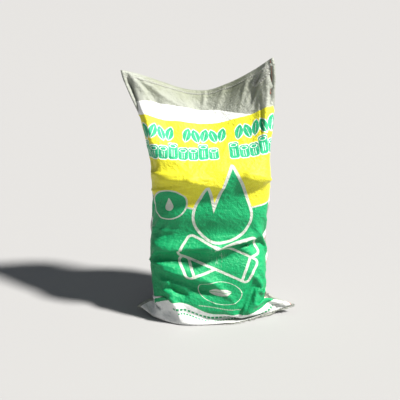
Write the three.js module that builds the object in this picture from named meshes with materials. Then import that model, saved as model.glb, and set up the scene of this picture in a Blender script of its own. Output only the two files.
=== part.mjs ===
// A printed woven sack of split birch firewood, standing on its base, in millimetres, +Z up.
// The origin is on the floor under the middle of the filled body. The printed face looks along -Y.
import * as THREE from "three";

// ---- Driving sizes ----------------------------------------------------------------------------

const LAYER = 0.9; // one layer of cloth, thicker than the real 0.2 so that it makes a sound solid
const SLIT = 0.8; // the gap left between the front and back cloth where they lie together
const BASE_HALF_WIDTH = 172;
const BASE_HALF_DEPTH = 100;
const BODY_HALF_WIDTH = 178;
const BODY_HALF_DEPTH = 112;
const BODY_SQUARENESS = 3.2; // 2 is an ellipse, more is squarer
const FILL_HEIGHT = 518; // where the sack stops being held out by its logs
const BASE_RISE = 160; // how high the sides swell from the base to the body's full width
const SHOULDER = { start: 400, end: 510, drop: 9 }; // the depth falls a little towards the top of the logs
const MOUTH = { left: [-258, 22, 750], middle: [-36, 94, 668], right: [177, 22, 787] };
const HEM_BAND = 24; // the doubled band at the mouth
const LIP_MIDDLE = [40, -121]; // the sewn bottom edge, on the floor in front of the body
const EAR_LEFT = { tip: [-224, -48], rise: 105 }; // where the bottom corners reach, and how high they start
const EAR_RIGHT = { tip: [262, -46], rise: 70 };
const THREAD = 1.6;
const BODY_HEIGHTS = [8, 30, 60, 95, 140, 200, 270, 340, 410, 470]; // the rings round the logs
const NECK_STEPS = [0, 0.2, 0.4, 0.58, 0.74]; // the rings of the neck, as shares of its height
const BAND_START = 1 - HEM_BAND / (MOUTH.middle[2] - FILL_HEIGHT); // the same kind of share
const LIP_THICKNESS = SLIT + 2 * LAYER;

const LOG_LENGTH = 250;
const LOG_GAP = 4;
const FLOOR_GAP = 4; // under the lowest logs, above the cloth
const TIERS = 2;
const TIER_PITCH = 256;
const ROWS = [
  { y: -61, depth: 54, count: 3, reach: 116 },
  { y: 0, depth: 66, count: 4, reach: 160 },
  { y: 61, depth: 54, count: 3, reach: 116 },
];

const KINDS = ["quarter", "half", "heart", "round", "quarter", "half", "heart"]; // how the logs were split

const COLUMNS = 18; // facets across the front of the sack, and across the back

const COLOURS = {
  cloth: 0xe9ebe6,
  thread: 0xf4f2ea,
  bark: 0xd9d2c4,
  splitWood: 0xd8b98a,
};

// ---- Small helpers ----------------------------------------------------------------------------

const mix = (a, b, t) => a + (b - a) * t;
const clamp01 = (t) => Math.min(1, Math.max(0, t));
const ease = (t) => clamp01(t) ** 2 * (3 - 2 * clamp01(t));

// A steady pseudo-random number from 0 to 1 for a whole number.
function pick(seed) {
  const x = Math.sin(seed * 12.9898 + 4.1414) * 43758.5453;
  return x - Math.floor(x);
}

const signed = (seed) => 2 * pick(seed) - 1;

// ---- The sack ---------------------------------------------------------------------------------

// Where each column of the cloth lies across its width, from -1 at the left fold to 1 at the right.
const acrossAt = (i) => -Math.cos((Math.PI * i) / COLUMNS);

// The curve through the mouth's left corner, middle and right corner, for t from -1 to 1.
function mouthPoint(t) {
  const { left, middle, right } = MOUTH;
  const value = (k) => {
    const slope = (right[k] - left[k]) / 2;
    const bow = (right[k] + left[k]) / 2 - middle[k];
    return middle[k] + slope * t + bow * Math.abs(t) ** 1.7;
  };
  return new THREE.Vector3(value(0), value(1), value(2));
}

// The sewn bottom edge on the floor, for t from -1 at the left ear to 1 at the right ear.
function lipPoint(t) {
  const tip = t < 0 ? EAR_LEFT.tip : EAR_RIGHT.tip;
  return new THREE.Vector2(
    mix(LIP_MIDDLE[0], tip[0], Math.abs(t)),
    mix(LIP_MIDDLE[1], tip[1], Math.abs(t) ** 2.6),
  );
}

// How far the side fold stands out of the body, which is an ear near the floor and a crease above it.
function foldReach(ear, z) {
  const full = Math.abs(ear.tip[0]) - BASE_HALF_WIDTH;
  return 4 + (full - 4) * clamp01(1 - z / ear.rise) ** 1.6;
}

function bodyHalfWidth(z) {
  return mix(BASE_HALF_WIDTH, BODY_HALF_WIDTH, ease(z / BASE_RISE));
}

function bodyHalfDepth(z) {
  const swell = mix(BASE_HALF_DEPTH, BODY_HALF_DEPTH, ease(z / (0.75 * BASE_RISE)));
  return swell - SHOULDER.drop * ease((z - SHOULDER.start) / (SHOULDER.end - SHOULDER.start));
}

// One ring of the cloth as points: the front from left to right, the right fold, the back and the left fold.
// place(side, across, profile) gives a point: side is -1 on the front and 1 on the back.
function ringOf(place) {
  const ring = [];
  for (let i = 0; i <= COLUMNS; i++) ring.push(place(-1, acrossAt(i), "cloth"));
  ring.push(place(-1, 1, "fold"), place(1, 1, "fold"));
  for (let i = COLUMNS; i >= 0; i--) ring.push(place(1, acrossAt(i), "cloth"));
  ring.push(place(1, -1, "fold"), place(-1, -1, "fold"));
  return ring;
}

// A ring of the filled body at height z. inset is 0 for the outside of the cloth and LAYER for its inside.
function bodyRing(z, inset) {
  const thin = SLIT / 2 + LAYER - inset;
  const halfWidth = bodyHalfWidth(z) - inset;
  const halfDepth = bodyHalfDepth(z) - inset;
  return ringOf((side, across, profile) => {
    const ear = across < 0 ? EAR_LEFT : EAR_RIGHT;
    const foldY = ear.tip[1] * clamp01(1 - z / (1.6 * ear.rise)) ** 1.5;
    const round = (1 - Math.abs(across) ** BODY_SQUARENESS) ** (1 / BODY_SQUARENESS);
    const y = foldY * Math.abs(across) ** 8 + side * Math.max(thin, halfDepth * round);
    const out = profile === "fold" ? foldReach(ear, z) : 0;
    return new THREE.Vector3(across * halfWidth + Math.sign(across) * out, y, z);
  });
}

// The outline that lies on the floor: the sewn lip in front, the body behind, and an ear at each end.
function floorRing(z) {
  const thin = SLIT / 2 + LAYER;
  const body = bodyRing(z, 0);
  let index = 0;
  return ringOf((side, across, profile) => {
    const point = body[index++].clone();
    if (profile === "fold") {
      const tip = lipPoint(across);
      return point.set(tip.x, tip.y + side * thin, z);
    }
    if (side > 0) return point;
    const lip = lipPoint(across * 0.985);
    return point.set(lip.x, Math.min(lip.y, point.y), z);
  });
}

// A ring of the empty neck: t is 0 where the logs end and 1 at the mouth.
function neckRing(t, half, inset) {
  const from = bodyRing(FILL_HEIGHT, inset);
  const sweep = ease(0.12 + 0.88 * t) - ease(0.12) * (1 - t);
  let index = 0;
  return ringOf((side, across, profile) => {
    const low = from[index++];
    const edge = profile === "fold" ? Math.sign(across) : across;
    const high = mouthPoint(edge * (profile === "fold" ? 1 : 0.985));
    high.y += side * half;
    const y = mix(low.y, high.y, 1 - (1 - t) ** 1.5);
    return new THREE.Vector3(mix(low.x, high.x, sweep), y, mix(low.z, high.z, t));
  });
}

function sackRings() {
  const flat = SLIT / 2 + LAYER;
  const outside = [
    floorRing(0),
    floorRing(LIP_THICKNESS),
    ...BODY_HEIGHTS.map((z) => bodyRing(z, 0)),
    ...NECK_STEPS.map((t) => neckRing(t, flat, 0)),
    neckRing(BAND_START - 0.01, flat, 0),
    neckRing(BAND_START, flat + LAYER, 0),
    neckRing(1, flat + LAYER, 0),
  ];
  const inside = [
    neckRing(1, SLIT / 2, LAYER),
    neckRing(BAND_START, SLIT / 2, LAYER),
    ...NECK_STEPS.toReversed().map((t) => neckRing(t, SLIT / 2, LAYER)),
    ...BODY_HEIGHTS.toReversed().map((z) => bodyRing(z, LAYER)),
    bodyRing(LAYER, LAYER),
  ];
  return [...outside, ...inside];
}

// A closed solid from rings of equal length, each end closed by a flat cap that joins its front to its back.
function ringSolid(rings) {
  const count = rings[0].length;
  const positions = rings.flat().flatMap((p) => [p.x, p.y, p.z]);
  const index = [];
  const quad = (a, b, c, d) => index.push(a, b, c, a, c, d);
  for (let j = 0; j + 1 < rings.length; j++) {
    for (let k = 0; k < count; k++) {
      const next = (k + 1) % count;
      quad(j * count + k, j * count + next, (j + 1) * count + next, (j + 1) * count + k);
    }
  }
  // Points k and mirror(k) face each other across the ring, the folds at its two ends among them.
  const mirror = (k) => (2 * COLUMNS + 3 - k + count) % count;
  const cap = (base, flip) => {
    for (let k = -1; k <= COLUMNS; k++) {
      const a = base + ((k + count) % count);
      const b = base + k + 1;
      const c = base + mirror(k + 1);
      const d = base + mirror(k);
      if (flip) quad(a, d, c, b);
      else quad(a, b, c, d);
    }
  };
  cap(0, true);
  cap((rings.length - 1) * count, false);
  const geometry = new THREE.BufferGeometry();
  geometry.setAttribute("position", new THREE.Float32BufferAttribute(positions, 3));
  geometry.setIndex(index);
  geometry.computeVertexNormals();
  return geometry;
}

function makeSack() {
  const finish = { color: COLOURS.cloth, roughness: 0.45, metalness: 0 };
  const sack = new THREE.Mesh(ringSolid(sackRings()), new THREE.MeshStandardMaterial(finish));
  sack.name = "sack";
  return sack;
}

// ---- The two seams ----------------------------------------------------------------------------

// A thread laid through points, as one bar with square ends.
function threadMesh(name, points) {
  const half = THREAD / 2;
  const section = new THREE.Shape()
    .moveTo(-half, -half)
    .lineTo(half, -half)
    .lineTo(half, half)
    .lineTo(-half, half)
    .closePath();
  const path = new THREE.CatmullRomCurve3(points);
  const geometry = new THREE.ExtrudeGeometry(section, { steps: 36, extrudePath: path });
  const finish = { color: COLOURS.thread, roughness: 0.8, metalness: 0 };
  const mesh = new THREE.Mesh(geometry, new THREE.MeshStandardMaterial(finish));
  mesh.name = name;
  return mesh;
}

// Points along the front cloth, part of the way from one ring up to the next, lifted clear of its facets.
function alongFront(lower, upper, share, lift) {
  const points = [];
  for (let i = 1; i < COLUMNS; i++) points.push(lower[i].clone().lerp(upper[i], share).add(lift));
  return points;
}

// The row that closes the mouth runs along the front of the band, near its lower edge.
function makeMouthStitching() {
  const band = SLIT / 2 + 2 * LAYER;
  const lower = neckRing(BAND_START, band, 0);
  const upper = neckRing(1, band, 0);
  const lift = new THREE.Vector3(0, -1.7 * THREAD, 0);
  return threadMesh("mouth_stitching", alongFront(lower, upper, 0.3, lift));
}

// The row that closes the bottom lies on top of the lip.
function makeBottomStitching() {
  const lower = floorRing(LIP_THICKNESS);
  const upper = bodyRing(BODY_HEIGHTS[0], 0);
  const lift = new THREE.Vector3(0, 0, 2 * THREAD);
  return threadMesh("bottom_stitching", alongFront(lower, upper, 0.2, lift));
}

// ---- The logs ---------------------------------------------------------------------------------

// The end of a split log in a box of the given width and height. The bark is the round side.
function logSection(kind, width, height) {
  const shape = new THREE.Shape();
  const w = width / 2;
  const h = height / 2;
  if (kind === "round") {
    shape.absellipse(0, 0, w, h, 0, 2 * Math.PI);
  } else if (kind === "half") {
    shape.moveTo(w, -h * 0.9);
    shape.lineTo(w, h * 0.9);
    shape.absellipse(w * 0.55, 0, w * 1.55, h, Math.PI / 2, (3 * Math.PI) / 2);
    shape.closePath();
  } else if (kind === "quarter") {
    shape.moveTo(w, -h);
    shape.lineTo(w, h * 0.72);
    shape.absellipse(w, -h, 2 * w, 2 * h, Math.PI * 0.56, Math.PI * 0.95);
    shape.lineTo(-w * 0.93, -h);
    shape.closePath();
  } else {
    shape.moveTo(w, -h * 0.86);
    shape.lineTo(w * 0.92, h);
    shape.lineTo(-w * 0.7, h * 0.9);
    shape.lineTo(-w, -h * 0.2);
    shape.lineTo(-w * 0.82, -h);
    shape.closePath();
  }
  return shape;
}

// One log standing up from z = 0. depth is from its bark to its split face, and turn is how far its bark,
// which looks along -X at first, is turned about the log's length.
function makeLog(number, kind, depth, width, length, turn) {
  const options = { depth: length, steps: 1, bevelEnabled: false, curveSegments: 7 };
  const geometry = new THREE.ExtrudeGeometry(logSection(kind, depth, width), options);
  geometry.rotateZ(turn);
  const color = kind === "heart" ? COLOURS.splitWood : COLOURS.bark;
  const finish = { color, roughness: 0.85, metalness: 0 };
  const mesh = new THREE.Mesh(geometry, new THREE.MeshStandardMaterial(finish));
  mesh.name = "log_" + String(number).padStart(2, "0");
  return mesh;
}

// Two tiers of upright logs, each of three rows. The front and back rows turn their bark to the cloth.
function makeLogs() {
  const logs = [];
  for (let tier = 0; tier < TIERS; tier++) {
    for (const row of ROWS) {
      const pitch = (2 * row.reach) / row.count;
      for (let column = 0; column < row.count; column++) {
        const seed = 7 * logs.length + 3;
        const kind = KINDS[(3 * logs.length + tier) % KINDS.length];
        const length = LOG_LENGTH - 12 * pick(seed);
        const tilt = THREE.MathUtils.degToRad(1.5 * signed(seed + 0.5));
        const facing = row.y > 0 ? -Math.PI / 2 : Math.PI / 2;
        const width = pitch - LOG_GAP - 5 * pick(seed + 0.8);
        const log = makeLog(logs.length + 1, kind, row.depth - 2, width, length, facing + tilt);
        log.position.set(-row.reach + pitch * (column + 0.5), row.y, FLOOR_GAP + tier * TIER_PITCH);
        logs.push(log);
      }
    }
  }
  return logs;
}

// ---- The whole part ---------------------------------------------------------------------------

const firewoodSack = new THREE.Group();
firewoodSack.add(makeSack(), makeMouthStitching(), makeBottomStitching(), ...makeLogs());

export default firewoodSack;
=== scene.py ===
# %% [markdown]
# # A sack of split birch logs
#
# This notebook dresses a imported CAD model, the frame, as a woven plastic sack full of firewood. The frame
# gives the sizes and the logs. Here the cloth is draped over those logs, printed, sewn and lit.

# %% Load the frame
import math

import bpy
import numpy as np
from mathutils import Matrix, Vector


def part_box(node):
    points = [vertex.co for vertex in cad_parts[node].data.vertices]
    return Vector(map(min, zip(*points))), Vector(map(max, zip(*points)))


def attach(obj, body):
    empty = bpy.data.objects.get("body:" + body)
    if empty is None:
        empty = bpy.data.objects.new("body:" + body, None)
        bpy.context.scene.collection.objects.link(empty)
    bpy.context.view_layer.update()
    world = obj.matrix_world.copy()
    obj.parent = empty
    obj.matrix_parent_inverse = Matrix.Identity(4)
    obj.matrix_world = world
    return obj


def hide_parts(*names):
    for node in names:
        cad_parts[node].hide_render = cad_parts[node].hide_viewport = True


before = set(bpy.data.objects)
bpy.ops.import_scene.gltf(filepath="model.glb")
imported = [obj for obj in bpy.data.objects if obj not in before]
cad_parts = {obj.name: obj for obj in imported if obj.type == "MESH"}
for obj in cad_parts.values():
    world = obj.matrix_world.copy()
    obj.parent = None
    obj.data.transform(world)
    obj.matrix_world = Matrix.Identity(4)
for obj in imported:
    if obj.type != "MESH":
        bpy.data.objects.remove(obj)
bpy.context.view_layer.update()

sack_low, sack_high = (np.array(corner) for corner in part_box("sack"))
log_names = sorted(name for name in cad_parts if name.startswith("log_"))
print("the CAD sack spans", np.round(sack_high - sack_low, 3), "metres, around", len(log_names), "logs")

# %% [markdown]
# ## The camera
#
# A person standing three metres away looks down on the sack a little. A long lens at that distance keeps
# the sides nearly parallel. The camera is set first, so that every later step can be judged in one steady
# view.

# %% Place the camera
CAMERA_DISTANCE = 3.0
CAMERA_HEIGHT_ANGLE = math.radians(22)
LOOK_AT = Vector((-0.031, 0.0, 0.356))

camera_data = bpy.data.cameras.new("camera")
camera_data.lens = 90
camera = bpy.data.objects.new("camera", camera_data)
bpy.context.collection.objects.link(camera)
looking = Vector((0, math.cos(CAMERA_HEIGHT_ANGLE), -math.sin(CAMERA_HEIGHT_ANGLE)))
camera.location = LOOK_AT - CAMERA_DISTANCE * looking
camera.rotation_euler = looking.to_track_quat("-Z", "Y").to_euler()
bpy.context.scene.camera = camera
print("the camera stands at", [round(v, 2) for v in camera.location])

# %% [markdown]
# ## Floor and light
#
# The floor is one pale sheet under a pale sky. The key light is a sun with a wide disc, so it lights the
# whole floor evenly and its shadows have soft edges. It stands high on the right, nearly level with the
# front, so that the folds of the cloth show as light and shade. A wide weak light opens up the shadows on
# the left a little.

# %% Make the floor, the sky and the lights
def plain_material(name, colour, roughness):
    """A material with one colour, for things that aren't part of the object."""
    material = bpy.data.materials.new(name)
    material.use_nodes = True
    shader = material.node_tree.nodes["Principled BSDF"]
    shader.inputs["Base Color"].default_value = (*colour, 1)
    shader.inputs["Roughness"].default_value = roughness
    return material


def add_object(name, data):
    """A new object in the scene."""
    made = bpy.data.objects.new(name, data)
    bpy.context.collection.objects.link(made)
    return made


FLOOR_REACH = 30
floor_mesh = bpy.data.meshes.new("floor")
corners = [(x * FLOOR_REACH, y * FLOOR_REACH, 0) for x, y in ((-1, -1), (1, -1), (1, 1), (-1, 1))]
floor_mesh.from_pydata(corners, [], [(0, 1, 2, 3)])
floor_mesh.materials.append(plain_material("pale floor", (0.37, 0.37, 0.37), 0.9))
floor = add_object("floor", floor_mesh)

sky = bpy.data.worlds.new("pale sky")
sky.use_nodes = True
sky.node_tree.nodes["Background"].inputs["Color"].default_value = (0.84, 0.91, 1.0, 1)
sky.node_tree.nodes["Background"].inputs["Strength"].default_value = 0.17
bpy.context.scene.world = sky
bpy.context.scene.view_settings.view_transform = "Standard"


def add_light(name, kind, place, power, colour):
    """A light of the given kind that faces the middle of the sack."""
    data = bpy.data.lights.new(name, kind)
    data.energy = power
    data.color = colour
    light = add_object(name, data)
    light.location = place
    light.rotation_euler = (LOOK_AT - Vector(place)).to_track_quat("-Z", "Y").to_euler()
    return data


key_light = add_light("key light", "SUN", (2.7, -1.1, 3.7), 8.4, (1.0, 0.97, 0.93))
key_light.angle = math.radians(6)
fill_light = add_light("fill light", "AREA", (-0.6, -3.4, 1.8), 2, (0.85, 0.92, 1.0))
fill_light.size = 2.5
print("the floor is", 2 * FLOOR_REACH, "m wide, and the sun", round(math.degrees(key_light.angle)), "degrees")

# %% [markdown]
# ## What the cloth hangs on
#
# The empty sack is a flat tube, 508 by 864 millimetres between its seams. Filled, its shape is set by three
# things: the sewn mouth, the sewn bottom edge, which are both curves, and the pack of logs between them.
# The curves start and end at the corners of the CAD sack, and a few points shape each of them. The front is
# creased all over, far more finely than the grid can show. Those creases use up a share of its height, the
# take-up.

# %% Draw the two seams as curves
FLAT_WIDTH = 0.508
FLAT_LENGTH = 0.864
FRONT_TAKE_UP = 0.95  # the share of the front's height that fine creases leave
CLOTH_GAP = 0.0016  # from the middle of the cloth to the wood


def smooth_curve(points, at):
    """Reads a smooth curve that passes through rows of (position, value, ...) at the given positions."""
    points = np.asarray(points, float)
    x, y = points[:, 0], points[:, 1:]
    slope = np.gradient(y, x, axis=0)
    at = np.clip(np.asarray(at, float), x[0], x[-1])
    k = np.clip(np.searchsorted(x, at) - 1, 0, len(x) - 2)
    width = (x[k + 1] - x[k])[..., None]
    t = (at - x[k])[..., None] / width
    start = (1 + 2 * t) * (1 - t) ** 2 * y[k] + t * (1 - t) ** 2 * width * slope[k]
    return start + t * t * (3 - 2 * t) * y[k + 1] + t * t * (t - 1) * width * slope[k + 1]


# Each row is the share of the flat width, then x, y and z.
MOUTH = [
    (0.00, sack_low[0], 0.022, 0.750),
    (0.10, -0.214, 0.040, 0.735),
    (0.25, -0.146, 0.070, 0.703),
    (0.42, -0.066, 0.094, 0.672),
    (0.52, -0.015, 0.096, 0.669),
    (0.68, 0.056, 0.076, 0.698),
    (0.85, 0.122, 0.046, 0.742),
    (1.00, 0.177, 0.022, sack_high[2]),
]
BOTTOM = [
    (0.00, -0.224, -0.048, 0.022),
    (0.10, -0.177, -0.062, 0.011),
    (0.22, -0.120, -0.084, 0.006),
    (0.40, -0.030, -0.103, 0.003),
    (0.57, 0.057, sack_low[1], 0.003),
    (0.70, 0.119, -0.098, 0.004),
    (0.80, 0.170, -0.072, 0.009),
    (0.90, 0.216, -0.054, 0.016),
    (1.00, 0.260, -0.046, 0.027),
]


def curve_length(points):
    """The length of a curve given as rows of (share, x, y, z)."""
    line = smooth_curve(points, np.linspace(0, 1, 200))
    return np.linalg.norm(np.diff(line, axis=0), axis=1).sum()


print("the mouth is", round(curve_length(MOUTH), 3), "m long and the bottom", round(curve_length(BOTTOM), 3))

# %% [markdown]
# The logs push the cloth out. A distance field is an easy way to describe them: a number at every point
# that says how far it is from the nearest wood. The field has the outline of the whole pack, which narrows
# where the lower tier ends, and joins to it a few lumps where a log's corner pokes out, and each log's own
# box.

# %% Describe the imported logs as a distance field
# How far the pack reaches to each side of the middle, by height.
REACH_LEFT = [(0.0, 0.168), (0.08, 0.174), (0.175, 0.180), (0.255, 0.176), (0.33, 0.166)]
REACH_LEFT += [(0.41, 0.171), (0.5, 0.176)]
REACH_RIGHT = [(0.0, 0.166), (0.08, 0.166), (0.175, 0.167), (0.255, 0.156), (0.33, 0.167)]
REACH_RIGHT += [(0.41, 0.174), (0.5, 0.170)]
REACH_FRONT = [(0.0, 0.108), (0.04, 0.117), (0.10, 0.115), (0.17, 0.107), (0.275, 0.087), (0.345, 0.102)]
REACH_FRONT += [(0.39, 0.098), (0.462, 0.112), (0.52, 0.108)]
REACH_BACK = [(0.0, 0.106), (0.06, 0.110), (0.16, 0.112), (0.265, 0.102), (0.36, 0.110)]
REACH_BACK += [(0.46, 0.110), (0.52, 0.106)]
SQUARENESS = 3.6
PACK_TOP = max(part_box(name)[1][2] for name in log_names)
PACK_BOTTOM = min(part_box(name)[0][2] for name in log_names)
PACK_ROUNDING = 0.045

# Where a log's corner pokes out: x, y, z, how wide and how far.
LUMPS = [
    (-0.060, -0.108, 0.470, 0.045, 0.006),
    (0.150, -0.085, 0.468, 0.035, 0.010),
    (-0.150, -0.080, 0.232, 0.040, 0.010),
    (0.050, -0.108, 0.340, 0.060, 0.006),
    (0.120, -0.090, 0.160, 0.045, 0.006),
    (-0.060, -0.106, 0.085, 0.050, 0.006),
]

# Folds across the front: the ends as (x, z), the half width, and how far the cloth stands out above the line.
FOLDS = [
    ((-0.190, 0.452), (-0.060, 0.452), 0.014, 0.012),
    ((-0.060, 0.452), (0.020, 0.430), 0.013, 0.008),
    ((-0.180, 0.395), (-0.020, 0.418), 0.014, 0.010),
    ((0.110, 0.455), (0.190, 0.430), 0.018, 0.016),
    ((-0.190, 0.225), (0.010, 0.232), 0.018, 0.020),
    ((0.010, 0.232), (0.150, 0.262), 0.017, 0.018),
    ((-0.200, 0.185), (0.000, 0.125), 0.015, 0.016),
    ((-0.190, 0.150), (-0.080, 0.115), 0.012, 0.013),
    ((-0.150, 0.120), (-0.110, 0.040), 0.012, 0.014),
    ((0.140, 0.110), (0.090, 0.010), 0.014, 0.013),
]


def fold_relief(x, z):
    """How far the folds stand out of the front at x and z."""
    out = np.zeros_like(x)
    for (x0, z0), (x1, z1), width, height in FOLDS:
        length = math.hypot(x1 - x0, z1 - z0)
        along_x, along_z = (x1 - x0) / length, (z1 - z0) / length
        s = (x - x0) * along_x + (z - z0) * along_z
        d = ((z - z0) * along_x - (x - x0) * along_z) / width
        past_end = np.maximum(0, np.maximum(-s, s - length)) / (1.6 * width)
        out = out + height * d * np.exp(0.5 - 0.5 * d * d - past_end**2)
    return out


def reaches(z):
    """The pack's reach to the left, right, front and back at height z."""
    sides = (REACH_LEFT, REACH_RIGHT, REACH_FRONT, REACH_BACK)
    return [smooth_curve(side, z)[..., 0] for side in sides]


def box_distance(p, low, high, rounding=0.006):
    """The distance to a box with rounded edges."""
    middle, half = (low + high) / 2, (high - low) / 2 - rounding
    away = np.abs(p - middle) - half
    outside = np.sqrt((np.maximum(away, 0) ** 2).sum(-1))
    return outside + np.minimum(away.max(-1), 0) - rounding


def pack_distance(p):
    """The distance from points to the pack of logs, which is less than zero inside it."""
    x, y, z = p[..., 0], p[..., 1], p[..., 2]
    left, right, front, back = reaches(z)
    a = np.where(x < 0, left, right)
    b = np.where(y < 0, front + fold_relief(x, z), back)
    q = (np.abs(x / a) ** SQUARENESS + np.abs(y / b) ** SQUARENESS) ** (1 / SQUARENESS) + 1e-6
    side = np.hypot(x, y) * (1 - 1 / q)
    for lump_x, lump_y, lump_z, width, height in LUMPS:
        away = (x - lump_x) ** 2 + (y - lump_y) ** 2 + (z - lump_z) ** 2
        side = side - height * np.exp(-away / width**2)
    top = z - PACK_TOP - 0.12 * x - 0.008 * np.sin(37 * x + 1) - 0.008 * np.sin(41 * y + 2)
    ends = np.maximum(top, PACK_BOTTOM - z)
    k = PACK_ROUNDING
    corner = np.hypot(np.maximum(side + k, 0), np.maximum(ends + k, 0))
    distance = np.minimum(np.maximum(side, ends), -k) + corner
    for name in log_names:
        low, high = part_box(name)
        distance = np.minimum(distance, box_distance(p, np.array(low), np.array(high)))
    return distance


# %% Work the field out on a grid once, so that it is quick to read
FIELD_STEP = 0.006
FIELD_LOW = np.array([-0.30, -0.20, -0.03])
FIELD_HIGH = np.array([0.31, 0.20, 0.62])


def make_field():
    """The distance and its outward direction at every point of a grid."""
    count = np.ceil((FIELD_HIGH - FIELD_LOW) / FIELD_STEP).astype(int) + 1
    axes = [FIELD_LOW[k] + FIELD_STEP * np.arange(count[k]) for k in range(3)]
    distance = pack_distance(np.stack(np.meshgrid(*axes, indexing="ij"), -1))
    outward = np.stack(np.gradient(distance, FIELD_STEP), -1)
    outward /= np.linalg.norm(outward, axis=-1, keepdims=True) + 1e-9
    return count, np.concatenate([distance[..., None], outward], -1).reshape(-1, 4).astype(np.float32)


def read_field(field, p):
    """The distance and the outward direction at points between the grid's own."""
    count, data = field
    f = (p - FIELD_LOW) / FIELD_STEP
    inside = np.all((f > 0) & (f < count - 1.001), axis=-1)
    f = np.clip(f, 0, count - 1.001)
    cell = f.astype(int)
    t = f - cell
    base = (cell[..., 0] * count[1] + cell[..., 1]) * count[2] + cell[..., 2]
    read = 0
    for dx in (0, 1):
        share_x = t[..., 0] if dx else 1 - t[..., 0]
        for dy in (0, 1):
            share = share_x * (t[..., 1] if dy else 1 - t[..., 1])
            at = base + (dx * count[1] + dy) * count[2]
            read = read + (share * (1 - t[..., 2]))[..., None] * data[at]
            read = read + (share * t[..., 2])[..., None] * data[at + 1]
    return np.where(inside, read[..., 0], 1.0), read[..., 1:]


pack_field = make_field()
print("the field has", len(pack_field[1]), "points, and the pack reaches up to", round(PACK_TOP, 3), "m")

# %% [markdown]
# ## The cloth before it settles
#
# A simulation needs a start that is roughly right. The cloth is a grid: its columns run up the sack and its
# rows run round it, front first and then back. Each column is laid along a path: from the bottom edge,
# under or up the pack, and in to the mouth. The front paths are shorter than the cloth, so the front has
# spare cloth to wrinkle, as on a real sack that has slumped.

# %% Lay the grid of cloth
def spread_evenly(path, count):
    """Points at even spacing along many paths at once. path is [point, column, xyz]."""
    step = np.linalg.norm(np.diff(path, axis=0), axis=-1)
    s = np.concatenate([np.zeros((1, path.shape[1])), np.cumsum(step, 0)], 0)
    s /= s[-1]
    even = np.linspace(0, 1, count + 1)
    out = np.empty((count + 1,) + path.shape[1:])
    for column in range(path.shape[1]):
        for k in range(3):
            out[:, column, k] = np.interp(even, s[:, column], path[:, column, k])
    return out


def ring_round_pack(across, z, clear=0.004):
    """Points round the pack at height z, half of them along the front and half along the back."""
    left, right, front, back = [side.item() for side in reaches(np.array([z]))]
    turn = np.linspace(0, 2 * np.pi, 2001)
    x = -np.sign(np.cos(turn)) * np.abs(np.cos(turn)) ** (2 / SQUARENESS)
    y = -np.sign(np.sin(turn)) * np.abs(np.sin(turn)) ** (2 / SQUARENESS)
    x = x * (np.where(x < 0, left, right) + clear)
    y = y * (np.where(y < 0, front, back) + clear)
    share = np.arange(across) / across
    halves = []
    for part in (slice(0, 1001), slice(1000, 2001)):
        s = np.concatenate([[0], np.cumsum(np.hypot(np.diff(x[part]), np.diff(y[part])))])
        halves.append(np.column_stack([np.interp(share, s / s[-1], v[part]) for v in (x, y)]))
    return np.concatenate(halves)


RING_HEIGHTS = (0.012, 0.04, 0.08, 0.12, 0.18, 0.24, 0.30, 0.36, 0.42, 0.47)
EAR_HEIGHT = 0.11
EAR_WIDTH = 0.07


def lay_cloth(across, up):
    """The first shape of the cloth, with the given number of squares across its front and up its length."""
    columns = np.arange(2 * across) / across
    is_back = columns > 1
    share = np.where(is_back, 2 - columns, columns)
    bottom, mouth = smooth_curve(BOTTOM, share), smooth_curve(MOUTH, share)
    bottom[:, 2] = np.maximum(bottom[:, 2] + np.where(is_back, -1, 1) * CLOTH_GAP, 0.001)
    mouth[:, 1] += np.where(is_back, 1, -1) * CLOTH_GAP
    from_fold = np.minimum(share, 1 - share)
    ear = np.exp(-((from_fold / EAR_WIDTH) ** 2))
    ear_top = np.column_stack([ring_round_pack(across, EAR_HEIGHT), np.full(2 * across, EAR_HEIGHT)])
    rows = [bottom]
    for z in RING_HEIGHTS:
        ring = np.column_stack([ring_round_pack(across, z), np.full(2 * across, z)])
        if z == RING_HEIGHTS[0]:
            ring[is_back] *= (0.9, 0.9, 0.2)
        climb = np.clip(z / (0.012 + 0.1 * ear), 0, 1)[:, None]
        straight = bottom * (1 - climb) + ear_top * climb
        share_straight = ear[:, None] * (z < EAR_HEIGHT)
        rows.append(ring * (1 - share_straight) + straight * share_straight)
    for t in (0.35, 0.7):
        neck = rows[len(RING_HEIGHTS)] * (1 - t) + mouth * t
        neck[:, 1] = rows[len(RING_HEIGHTS)][:, 1] * (1 - t) ** 1.3 + mouth[:, 1] * t**0.8
        rows.append(neck)
    rows.append(mouth)
    return spread_evenly(np.stack(rows), up)


COARSE_ACROSS, COARSE_UP = 52, 92
laid = lay_cloth(COARSE_ACROSS, COARSE_UP)
path_lengths = np.linalg.norm(np.diff(laid, axis=0), axis=-1).sum(0)
front_path, back_path = path_lengths[COARSE_ACROSS // 2], path_lengths[3 * COARSE_ACROSS // 2]
print("front path", round(front_path, 3), "m, back path", round(back_path, 3), "m, cloth", FLAT_LENGTH, "m")

# %% [markdown]
# ## Letting the cloth settle
#
# Blender has a cloth simulation of its own, but this sack needs a few habits that are easier to write by
# hand: both seams are held on their curves, the flat front and back must not pass through each other, and
# the cloth grips the logs. The method is the usual one for games. Every thread between two neighbouring
# points is pulled back to its flat length, over and over, while gravity tugs, stiffness rounds off sharp
# bends, and the distance field pushes points out of the wood.

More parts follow.
